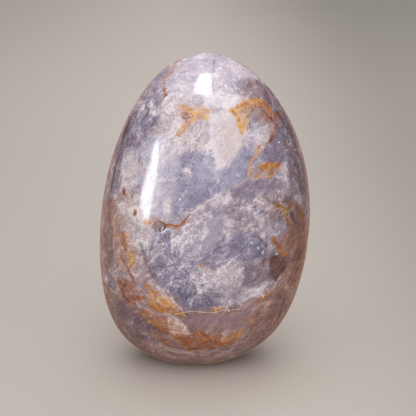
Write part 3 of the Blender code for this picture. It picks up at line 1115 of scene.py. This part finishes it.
# %% Hairlines and glints round the back
HAIRLINES_BEHIND = (
    # width in mm, rust, raggedness, marks by degrees and height
    (0.40, 0.25, 0.6, (138, 40), (146, 45), (158, 46), (166, 51), (180, 50), (190, 54)),
    (0.36, 0.50, 0.6, (198, 50), (206, 47), (214, 47), (224, 43), (238, 41)),
    (0.34, 0.40, 0.6, (158, 72), (168, 68), (178, 70), (190, 67), (202, 72)),
    (0.50, 0.05, 0.6, (196, 66), (202, 74), (205, 84)),
    (0.30, 0.05, 0.6, (160, 54), (166, 60), (176, 64)),
    (0.34, 0.30, 0.6, (100, 55), (104, 64), (112, 70), (122, 72)),
    (0.32, 0.10, 0.6, (244, 56), (250, 64), (262, 70)),
    (0.36, 0.35, 0.6, *SKIRT_BEHIND),
    (0.30, 0.60, 0.6, (214, 74), (222, 70), (232, 71)),
    (0.30, 0.10, 0.6, (268, 44), (274, 50), (276, 58)),
)
lay_hairlines(HAIRLINES_BEHIND, turned)

# The dice lean each glint by up to two degrees and one millimetre
GLINT_TURN = 2.0
GLINT_RISE = 1.0
# Painted highlights round the back, as on the face
GLINTS_BEHIND = (
    (112, 74), (156, 62), (168, 54), (186, 46), (204, 70), (226, 60), (236, 66),
    (248, 74), (262, 62), (132, 50), (92, 66), (146, 34), (190, 36), (220, 48),
)
for turn, up in GLINTS_BEHIND:
    end = (turn + dice.uniform(-GLINT_TURN, GLINT_TURN), up + dice.uniform(-GLINT_RISE, GLINT_RISE))
    flash(turned((turn, up), end))
print("hairlines reach", int((coats["line_gap"] < HAIRLINE_REACH).sum()), "points")

# %% [markdown]
# ### From numbers to a piece
#
# Now the painted numbers move from the notebook onto the mesh, where a material can read them.
# The piece hangs on the root, and the solid is hidden.

# %% The piece and its attributes
for vertex, inward in zip(skin.verts, coats["hollow"]):
    vertex.co -= vertex.normal * float(inward) * MM
skin.normal_update()

skin_data = bpy.data.meshes.new("quartz_skin")
skin.to_mesh(skin_data)
skin_data.shade_smooth()
for name, values in coats.items():
    attribute = skin_data.attributes.new(name, "FLOAT", "POINT")
    attribute.data.foreach_set("value", values.astype(np.float32))
stone = bpy.data.objects.new("quartz_skin", skin_data)
bpy.context.scene.collection.objects.link(stone)
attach(stone, "root")
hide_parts("quartz_stone")
print("attributes:", len(skin_data.attributes), "on", len(skin_data.vertices), "points")

# %% [markdown]
# ## The quartz finish
#
# The material reads the coats, breaks them up with noise at the scales of the real grain, and
# looks the result up in two scales of colour, a lilac one and a brown one.

# %% Node helpers
def tinted(red, green, blue):
    """A colour from the usual 0 to 255 numbers, as the linear light that a material wants."""
    shares = [v / 255 for v in (red, green, blue)]
    return tuple(s / 12.92 if s <= 0.04045 else ((s + 0.055) / 1.055) ** 2.4 for s in shares) + (1.0,)


class Wiring:
    """Adds nodes to one tree and joins them up."""

    def __init__(self, tree):
        self.tree = tree

    def node(self, kind, settings=(), **wires):
        """A new node. Settings are its own, and wires are numbers, colours or sockets for its inputs."""
        made = self.tree.nodes.new(kind)
        for name, value in dict(settings).items():
            setattr(made, name, value)
        for name, value in wires.items():
            key = int(name[1:]) if name[0] == "_" and name[1:].isdigit() else name.replace("_", " ")
            self.wire(made.inputs[key], value)
        return made

    def wire(self, socket, value):
        """Sets a socket, or links it."""
        if isinstance(value, bpy.types.NodeSocket):
            self.tree.links.new(value, socket)
        else:
            socket.default_value = value

    def sum(self, kind, first, second=0.0, third=0.0):
        """A Math node."""
        made = self.node("ShaderNodeMath", {"operation": kind})
        for socket, value in zip(made.inputs, (first, second, third)):
            self.wire(socket, value)
        return made.outputs[0]

    def add_up(self, total, *parts):
        """The total plus every part. A part is a socket and the share of it that is added."""
        for socket, share in parts:
            total = self.sum("MULTIPLY_ADD", socket, share, total)
        return total

    def coat(self, name):
        """One of the stone's attributes."""
        made = self.node("ShaderNodeAttribute", {"attribute_name": name})
        return made.outputs["Fac"]

    def step(self, value, low, high, to_low=0.0, to_high=1.0):
        """A smooth step between two numbers."""
        made = self.node("ShaderNodeMapRange", {"interpolation_type": "SMOOTHSTEP"})
        for socket, number in zip(made.inputs, (value, low, high, to_low, to_high)):
            self.wire(socket, number)
        return made.outputs[0]

    def grain(self, where, scale, detail, roughness, distortion=0.0):
        """Fractal noise, about 0 on average. The scale is in waves per millimetre."""
        made = self.node("ShaderNodeTexNoise", Vector=where, Scale=scale, Detail=detail,
            Roughness=roughness, Distortion=distortion)
        return self.sum("SUBTRACT", made.outputs["Fac"], 0.5)

    def scale_of(self, value, stops):
        """A colour ramp."""
        made = self.node("ShaderNodeValToRGB", Fac=value)
        marks = made.color_ramp.elements
        while len(marks) < len(stops):
            marks.new(0.5)
        for mark, (place, colour) in zip(marks, stops):
            mark.position = place
            mark.color = colour
        return made.outputs["Color"]

    def mix(self, share, first, second, kind="MIX"):
        """Two colours, mixed."""
        made = self.node("ShaderNodeMix", {"data_type": "RGBA", "blend_type": kind})
        self.wire(made.inputs["Factor"], share)
        self.wire(made.inputs["A"], first)
        self.wire(made.inputs["B"], second)
        return made.outputs["Result"]


# %% [markdown]
# ### Coordinates that curl
#
# Grain in a real stone was folded and squeezed while it grew. Plain noise looks like fog, so
# the noise gets coordinates that another noise has pushed about, which makes it flow. All of
# it is solid noise in millimetres: it runs through the stone and fits every side.

# %% Coordinates for the grain
quartz = bpy.data.materials.new("quartz")
quartz.use_nodes = True
build = Wiring(quartz.node_tree)
quartz_surface = quartz.node_tree.nodes["Principled BSDF"]

place = build.node("ShaderNodeTexCoord").outputs["Object"]
in_mm = build.node(
    "ShaderNodeMapping",
    {"vector_type": "POINT"},
    Vector=place,
    Scale=(1.0 / MM, 1.0 / MM, 1.0 / MM),
).outputs[0]


def bent(where, scale, reach):
    """Coordinates pushed about by a soft noise, so that what grows in them flows and curls."""
    soft = build.node("ShaderNodeTexNoise", Vector=where, Scale=scale, Detail=2.0, Roughness=0.5)
    push = build.node(
        "ShaderNodeVectorMath",
        {"operation": "SUBTRACT"},
        _0=soft.outputs["Color"],
        _1=(0.5, 0.5, 0.5),
    ).outputs[0]
    push = build.node("ShaderNodeVectorMath", {"operation": "SCALE"}, _0=push, Scale=reach).outputs[0]
    return build.node("ShaderNodeVectorMath", {"operation": "ADD"}, _0=where, _1=push).outputs[0]


curled = bent(bent(in_mm, 0.10, 9.0), 0.40, 2.4)
leaning = build.node(
    "ShaderNodeMapping",
    {"vector_type": "TEXTURE"},
    Vector=curled,
    Rotation=(0.0, math.radians(-48.0), 0.0),
    Scale=(3.2, 1.6, 1.0),
).outputs[0]
print("nodes so far:", len(quartz.node_tree.nodes))

# %% [markdown]
# ### Grain
#
# Four noises, from clouds of eight millimetres down to flecks smaller than one, give the frost.
# Threads come from the places where a noise passes through zero, as those places form lines.

# %% Grain
def threads(where, scale, distortion, sharpness):
    """Fine bright threads, from 0 to 1, where a noise passes through its middle."""
    level = build.sum("ABSOLUTE", build.grain(where, scale, 4.0, 0.6, distortion))
    return build.node("ShaderNodeMapRange", Value=level, From_Min=sharpness, From_Max=0.0).outputs[0]


clouds = build.grain(curled, 0.13, 4.0, 0.55)
mottle = build.grain(curled, 0.45, 6.0, 0.70)
flecks = build.grain(in_mm, 1.7, 4.0, 0.80, 0.3)
wisps = build.grain(leaning, 0.60, 5.0, 0.68)

# Flakes: planes inside the stone that are sharp on one side and fade on the other
layers = build.sum("MULTIPLY", build.grain(leaning, 0.22, 3.0, 0.5), 5.0)
flakes = build.sum("SUBTRACT", build.sum("FRACT", layers), 0.5)
flakes = build.sum("MULTIPLY", flakes, build.step(clouds, -0.06, 0.10, 0.2, 1.0))

veins = threads(curled, 0.30, 0.5, 0.030)
hairs = threads(leaning, 0.75, 0.4, 0.050)
netting = threads(curled, 1.10, 0.6, 0.060)
lit = build.sum("MULTIPLY", veins, build.step(mottle, -0.04, 0.10))
lit = build.add_up(
    lit,
    (hairs, build.step(clouds, -0.02, 0.08)),
    (netting, build.step(wisps, 0.00, 0.14)),
)
pits = build.step(flecks, -0.10, -0.24)
# Sparks: tiny painted glints, bright flecks where inner cracks would catch the lamp
painted_sparks = build.sum("MULTIPLY", build.step(flecks, 0.12, 0.22), build.step(wisps, -0.02, 0.12))

# %% [markdown]
# ### Tone and warmth
#
# The grain is added to the painted tone, more where the cloud coat is high. Hue drifts on its
# own noise, because pink and blue quartz do not follow light and dark.

# %% Tone and warmth
frost = build.sum("MULTIPLY", clouds, 0.30)
frost = build.add_up(
    frost,
    (mottle, 0.38),
    (flecks, 0.72),
    (wisps, 0.45),
    (flakes, 0.11),
    (lit, 0.14),
    (painted_sparks, 0.14),
    (pits, -0.12),
)
frost = build.sum("SUBTRACT", frost, 0.03)
frost = build.sum("MULTIPLY", frost, build.coat("cloud"))
tone = build.add_up(build.coat("tone"), (frost, 1.12))

hue_drift = build.grain(curled, 0.22, 5.0, 0.6)
warm = build.add_up(build.coat("warm"), (hue_drift, 0.9), (mottle, 0.25), (flecks, -0.60))
warm = build.node("ShaderNodeClamp", Value=warm).outputs[0]

# %% [markdown]
# ### Colour
#
# Two ramps turn tone into colour, one for lilac-blue quartz and one for the brown skin, and
# warmth mixes them. Mixing colours of equal tone keeps the light and dark pattern whole.

# %% Colour
LILAC_SCALE = (
    (0.00, tinted(8, 7, 9)),
    (0.35, tinted(78, 75, 94)),
    (0.60, tinted(145, 144, 174)),
    (0.75, tinted(186, 183, 206)),
    (0.90, tinted(229, 221, 238)),
    (1.00, tinted(255, 251, 255)),
)
BROWN_SCALE = (
    (0.00, tinted(10, 7, 6)),
    (0.35, tinted(102, 69, 63)),
    (0.60, tinted(172, 136, 127)),
    (0.75, tinted(208, 179, 171)),
    (0.90, tinted(238, 221, 216)),
    (1.00, tinted(255, 248, 245)),
)
lilac = build.scale_of(tone, LILAC_SCALE)
brown = build.scale_of(tone, BROWN_SCALE)
body = build.mix(warm, lilac, brown)
rosy = build.step(build.grain(curled, 0.5, 5.0, 0.7), -0.02, 0.16, 0.0, 0.7)
body = build.mix(rosy, body, build.mix(1.0, body, tinted(255, 243, 250), "MULTIPLY"))

# %% [markdown]
# ### Dark cracks and rust
#
# Both are masks: the painted coat says where, and grain decides where exactly. Rust also has
# its own ramp, since it is yellow where it is thin and nearly black where it is thick. Over a
# dark crack thin ochre looks olive.

# %% Dark cracks and rust
smoke_coat = build.coat("smoke")
smoke_share = build.step(build.add_up(smoke_coat, (mottle, 1.3), (flecks, 0.9)), 0.15, 1.05)
smoke_share = build.sum("MULTIPLY", smoke_share, build.step(smoke_coat, 0.0, 0.3))
body = build.mix(build.sum("MULTIPLY", smoke_share, 0.9), body, tinted(58, 50, 60))

# Rust, with a faint peach halo round it
rust_coat = build.coat("rust")
rust_web = build.sum("MAXIMUM", threads(curled, 0.32, 0.5, 0.06), threads(curled, 0.80, 0.5, 0.08))
rust_grain = build.grain(curled, 0.7, 6.0, 0.78)
rust_share = build.add_up(rust_coat, (rust_web, 0.50), (rust_grain, 2.2), (clouds, 0.5), (flecks, 0.8))
rust_share = build.sum("MULTIPLY", rust_share, build.step(rust_coat, 0.0, 0.25))
rust_mask = build.step(rust_share, 0.46, 1.10)
halo = build.sum("MULTIPLY", build.step(rust_coat, 0.0, 0.6), 0.5)
body = build.mix(halo, body, build.mix(1.0, body, tinted(255, 206, 158), "MULTIPLY"))
depth_grain = build.grain(curled, 0.6, 5.0, 0.7)
depth = build.add_up(build.coat("rust_depth"), (depth_grain, 1.8), (flecks, 1.3))
OCHRE_SCALE = (
    (0.00, tinted(250, 212, 140)),
    (0.22, tinted(228, 158, 60)),
    (0.50, tinted(188, 106, 40)),
    (0.78, tinted(134, 68, 36)),
    (1.00, tinted(86, 46, 34)),
)
rusty = build.scale_of(depth, OCHRE_SCALE)
over_dark = build.sum("MULTIPLY", smoke_share, 0.65)
rusty = build.mix(over_dark, rusty, tinted(88, 78, 40))
body = build.mix(build.sum("MULTIPLY", rust_mask, 0.88), body, rusty)

# %% [markdown]
# ### Hairlines and glints
#
# The two thinnest marks: real hairlines, and glints, which are painted highlights. The line's mask
# compares the kept distance with the line's width, and both get a touch of fleck so that nothing
# looks drawn with a pen.

# %% Hairlines and glints
side = build.sum("ABSOLUTE", build.add_up(build.coat("line_side"), (flecks, 0.25)))
tip = build.sum("SUBTRACT", build.coat("line_gap"), 0.35)
gap = build.sum("MAXIMUM", side, tip)
half_width = build.sum("MULTIPLY", build.coat("line_width"), 0.5)
thinness = build.sum("DIVIDE", gap, build.sum("MAXIMUM", half_width, 0.02))
broken = build.step(wisps, -0.14, 0.04, 0.35, 1.0)
line_mask = build.sum("MULTIPLY", build.step(thinness, 1.6, 0.5), broken)
CRACK_SCALE = (
    (0.00, tinted(246, 238, 244)),
    (0.35, tinted(240, 208, 184)),
    (0.60, tinted(205, 148, 96)),
    (1.00, tinted(128, 66, 42)),
)
line_colour = build.scale_of(build.coat("line_rust"), CRACK_SCALE)
body = build.mix(build.sum("MULTIPLY", line_mask, 0.9), body, line_colour)

# Painted highlights: where the glint coat is high the colour turns white
painted_glint_mask = build.step(build.add_up(build.coat("glint"), (flecks, 1.8)), 0.45, 0.75)
body = build.mix(painted_glint_mask, body, tinted(255, 252, 250))

# %% [markdown]
# ### Polish
#
# Quartz is hard and takes a mirror polish, with an index of refraction of 1.544. The roughness
# hardly changes over the stone, and there is no bump: the wheel leaves none.

# %% Polish
QUARTZ_IOR = 1.544
build.wire(quartz_surface.inputs["Base Color"], body)
polish = build.step(mottle, -0.25, 0.25, 0.055, 0.085)
build.wire(quartz_surface.inputs["Roughness"], polish)
quartz_surface.inputs["IOR"].default_value = QUARTZ_IOR
skin_data.materials.append(quartz)
print("quartz nodes:", len(quartz.node_tree.nodes))

# %% [markdown]
# ## The studio
#
# Floor and wall are one seamless sheet of paper: a flat disc whose edge sweeps up into a bowl.
# Turning a profile with spin gives the same backdrop from every side.

# %% Backdrop
FLOOR_RADIUS = 2.6
SWEEP_RADIUS = 1.2
SWEEP_STEPS = 16
WALL_HEIGHT = 3.2
FLOOR_DROP = 0.05 * MM
SPIN_STEPS = 96
MERGE_DISTANCE = 0.01 * MM

profile = [Vector((0.0, 0.0, -FLOOR_DROP))]
for step in range(SWEEP_STEPS + 1):
    turn = math.pi / 2 * step / SWEEP_STEPS
    out = FLOOR_RADIUS + SWEEP_RADIUS * math.sin(turn)
    profile.append(Vector((out, 0.0, SWEEP_RADIUS * (1.0 - math.cos(turn)) - FLOOR_DROP)))
profile.append(Vector((FLOOR_RADIUS + SWEEP_RADIUS, 0.0, WALL_HEIGHT)))

sheet = bmesh.new()
line = [sheet.verts.new(point) for point in profile]
edges = [sheet.edges.new(pair) for pair in zip(line, line[1:])]
bmesh.ops.spin(
    sheet,
    geom=line + edges,
    cent=(0.0, 0.0, 0.0),
    axis=(0.0, 0.0, 1.0),
    angle=math.tau,
    steps=SPIN_STEPS,
    use_merge=True,
)
bmesh.ops.remove_doubles(sheet, verts=sheet.verts, dist=MERGE_DISTANCE)
bmesh.ops.recalc_face_normals(sheet, faces=sheet.faces)
backdrop_data = bpy.data.meshes.new("backdrop")
sheet.to_mesh(backdrop_data)
sheet.free()
backdrop_data.shade_smooth()
backdrop = bpy.data.objects.new("backdrop", backdrop_data)
backdrop.visible_glossy = False
bpy.context.scene.collection.objects.link(backdrop)
print("backdrop faces:", len(backdrop_data.polygons))

# %% [markdown]
# ### Paper
#
# The light of a real studio falls off at its borders. Here the paper is painted a little darker
# towards the right, the far left and the back, which keeps the lamps large and simple.

# %% Paper
PAPER_LIGHT = (0.669, 0.627, 0.572, 1.0)
PAPER_DARK = (0.216, 0.204, 0.187, 1.0)
# How much the slant grows with each metre to the right and to the back
SLANT_RIGHT = 3.0
SLANT_BACK = 0.234
# Where each darkening starts and ends, and how strong it gets
DUSK = (0.02, 0.36, 0.60)
LEFT_EDGE = (0.061, -0.204, 0.50)
FAR_EDGE = (0.24, 0.58, 0.24)


def darkened(where, start, end, strength):
    """A soft darkening of the paper from 0 at its start to its full strength at its end."""
    return sheet_wiring.step(where, start, end, 0.0, strength)


paper = bpy.data.materials.new("paper")
paper.use_nodes = True
paper_surface = paper.node_tree.nodes["Principled BSDF"]
sheet_wiring = Wiring(paper.node_tree)
on_paper = sheet_wiring.node("ShaderNodeTexCoord").outputs["Object"]
to_right, to_back, _ = sheet_wiring.node("ShaderNodeSeparateXYZ", Vector=on_paper).outputs
slant = sheet_wiring.sum("MULTIPLY", to_back, SLANT_BACK)
slant = sheet_wiring.add_up(slant, (to_right, SLANT_RIGHT))
shade = sheet_wiring.sum("ADD", darkened(slant, *DUSK), darkened(to_right, *LEFT_EDGE))
shade = sheet_wiring.sum("ADD", shade, darkened(to_back, *FAR_EDGE))
paper_colour = sheet_wiring.mix(shade, PAPER_LIGHT, PAPER_DARK)
sheet_wiring.wire(paper_surface.inputs["Base Color"], paper_colour)
paper_surface.inputs["Roughness"].default_value = 0.9
paper_surface.inputs["Specular IOR Level"].default_value = 0.1
backdrop_data.materials.append(paper)
print("paper nodes:", len(paper.node_tree.nodes))

# %% [markdown]
# ### Soft light
#
# A large cloth box over the stone is the main light, a second one lifts the far side, and a
# small one in front fills the foot. They are large so that the shadow stays soft. Their own
# pictures are kept out of the gloss, which gets its own cards below.

# %% Softboxes
SOFTBOXES = (
    # name, place, width and height in metres, watts, tint
    ("overhead", (-0.02, -0.45, 1.25), 1.8, 1.8, 12.0, (1.0, 0.98, 0.99)),
    ("back", (0.0, 0.85, 1.0), 1.4, 1.4, 6.5, (1.0, 0.98, 0.98)),
    ("front fill", (0.0, -1.5, 0.5), 1.2, 0.7, 7.0, (1.0, 1.0, 1.0)),
)
ROOM_TINT = (1.0, 0.97, 0.95, 1.0)
ROOM_STRENGTH = 0.35


def softbox(name, place, width, height, power, tint):
    """A rectangular light that looks at the stone. Its own picture stays out of the gloss."""
    data = bpy.data.lights.new(name, "AREA")
    data.shape = "RECTANGLE"
    data.size = width
    data.size_y = height
    data.energy = power
    data.color = tint
    light = bpy.data.objects.new(name, data)
    light.location = place
    light.rotation_euler = (stone_middle - Vector(place)).to_track_quat("-Z", "Y").to_euler()
    light.visible_glossy = False
    bpy.context.scene.collection.objects.link(light)


for settings in SOFTBOXES:
    softbox(*settings)

world = bpy.data.worlds.new("room")
bpy.context.scene.world = world
world.use_nodes = True
background = world.node_tree.nodes["Background"]
background.inputs["Color"].default_value = ROOM_TINT
background.inputs["Strength"].default_value = ROOM_STRENGTH
print("softboxes:", len(SOFTBOXES))

# %% [markdown]
# ### What the gloss shows
#
# A wet polish is a mirror, so most of its look is what it reflects. Two bright cards make the
# window on the crown and the long strip on the left, and a dim pinkish room shows along the rim,
# where every glossy thing reflects most. Cards and room show only in reflections. Each card is
# found backwards: from the pixels where its picture should lie, bounced off the stone.

# %% Cards
CARD_DISTANCE = 0.25
CARD_COLUMNS = 14
CARD_ROWS = 30


def polished_normal(place, face):
    """The smooth normal at a place on one face of the skin."""
    corners = face.verts
    shares = interpolate.poly_3d_calc([v.co for v in corners], place)
    normal = Vector((0.0, 0.0, 0.0))
    for share, corner in zip(shares, corners):
        normal += corner.normal * share
    return normal.normalized()


def bounced(column, row):
    """Where the ray through this pixel goes after it bounces off the stone."""
    ray = pixel_ray(column, row)
    place, _, number, _ = surface.ray_cast(camera_place, ray)
    normal = polished_normal(place, skin.faces[number])
    return place + ray.reflect(normal) * CARD_DISTANCE


def between(table, share):
    """The values of a table of rows at this share of the way down it."""
    rows = [entry[0] for entry in table]
    row = rows[0] + (rows[-1] - rows[0]) * share
    return row, np.interp(row, rows, [e[1] for e in table]), np.interp(row, rows, [e[2] for e in table])


def card(name, table, strength, tint, soft_left, soft_right, soft_ends):
    """A glowing card whose picture on the stone spans these rows, each from a left to a right column."""
    mesh = bmesh.new()
    bmesh.ops.create_grid(mesh, x_segments=CARD_COLUMNS, y_segments=CARD_ROWS, size=0.5)
    glow = []
    for vertex in mesh.verts:
        share_across, share_down = vertex.co.x + 0.5, 0.5 - vertex.co.y
        row, left, right = between(table, share_down)
        vertex.co = bounced(left + (right - left) * share_across, row)
        sides = min(share_across / soft_left, (1.0 - share_across) / soft_right)
        ends = min(share_down, 1.0 - share_down) / soft_ends
        glow.append(float(ease(min(sides, 1.0)) * ease(min(ends, 1.0))))
    data = bpy.data.meshes.new(name)
    mesh.to_mesh(data)
    mesh.free()
    data.attributes.new("glow", "FLOAT", "POINT").data.foreach_set("value", glow)
    glowing(name, data, strength, tint)


def glowing(name, data, strength, tint, see_through=True):
    """An object that only reflections see."""
    light = bpy.data.materials.new(name)
    light.use_nodes = True
    light.node_tree.nodes.clear()
    wiring = Wiring(light.node_tree)
    power = wiring.sum("MULTIPLY", wiring.coat("glow"), strength)
    emission = wiring.node("ShaderNodeEmission", Color=tint, Strength=power)
    shown = emission
    if see_through:
        clear = wiring.node("ShaderNodeBsdfTransparent")
        shown = wiring.node("ShaderNodeAddShader", _0=emission.outputs[0], _1=clear.outputs[0])
    output = wiring.node("ShaderNodeOutputMaterial")
    wiring.wire(output.inputs["Surface"], shown.outputs[0])
    data.materials.append(light)
    thing = bpy.data.objects.new(name, data)
    thing.visible_camera = False
    thing.visible_diffuse = False
    thing.visible_shadow = False
    bpy.context.scene.collection.objects.link(thing)


# %% [markdown]
# ### The window and the strip
#
# Each bright card has a wider and dimmer one round it, because a real lamp's cloth spreads some
# light past its border. A card fades towards its edges by its own soft shares.

# %% Window and strip
# Rows of the picture, each with the left and the right column of the reflection
WINDOW = ((72.5, 197.5, 211.5), (80, 194.5, 212.0), (88, 191.5, 212.5), (95.5, 190.0, 213.0))
WINDOW_HALO = ((58, 200, 230), (75, 190, 230), (95, 184, 230), (112, 186, 232))
STRIP = (
    (135, 157.5, 160.5), (140, 155, 160), (150, 151.5, 159.5), (160, 149.5, 159.5), (170, 146, 158.5),
    (180, 143, 157.5), (190, 139.5, 155.5), (200, 137, 154), (210, 138, 152.5), (220, 142, 150),
    (226, 146, 148),
)
STRIP_HALO = (
    (130, 154, 166), (140, 148, 170), (160, 142, 170), (180, 136, 166), (200, 130, 162), (226, 134, 158),
)
CARDS = (
    # name, picture, strength, tint, soft shares of the left, right and both ends
    ("window_card", WINDOW, 10.5, (1.0, 0.99, 1.0, 1.0), 0.28, 0.10, 0.10),
    ("window_halo", WINDOW_HALO, 1.8, (0.95, 0.95, 1.0, 1.0), 0.4, 0.4, 0.4),
    ("strip_card", STRIP, 9.5, (0.96, 0.98, 1.0, 1.0), 0.35, 0.25, 0.12),
    ("strip_halo", STRIP_HALO, 2.4, (0.88, 0.93, 1.0, 1.0), 0.35, 0.3, 0.2),
)
skin.faces.ensure_lookup_table()
for settings in CARDS:
    card(*settings)
print("cards:", len(CARDS))

# %% [markdown]
# ### The room
#
# At the rim the polish reflects nearly all light at a glance, so the room's colour shows there
# as a thin warm line. A great ball with a glow by height stands for floor, walls and ceiling.

# %% Room for the rim
ROOM_RADIUS = 6.0
ROOM_WARMTH = (1.0, 0.60, 0.44, 1.0)
# Heights as shares of the radius, each with its glow
ROOM_HEIGHTS = (-1.0, -0.75, -0.30, 0.0, 0.17, 1.0)
ROOM_GLOWS = (0.10, 0.12, 0.52, 0.45, 0.24, 0.26)
room_mesh = bmesh.new()
bmesh.ops.create_icosphere(room_mesh, subdivisions=4, radius=ROOM_RADIUS)
room_glow = [float(np.interp(v.co.z / ROOM_RADIUS, ROOM_HEIGHTS, ROOM_GLOWS)) for v in room_mesh.verts]
room_data = bpy.data.meshes.new("room")
room_mesh.to_mesh(room_data)
room_mesh.free()
room_data.attributes.new("glow", "FLOAT", "POINT").data.foreach_set("value", room_glow)
glowing("room", room_data, 1.0, ROOM_WARMTH, see_through=False)
print("room faces:", len(room_data.polygons))
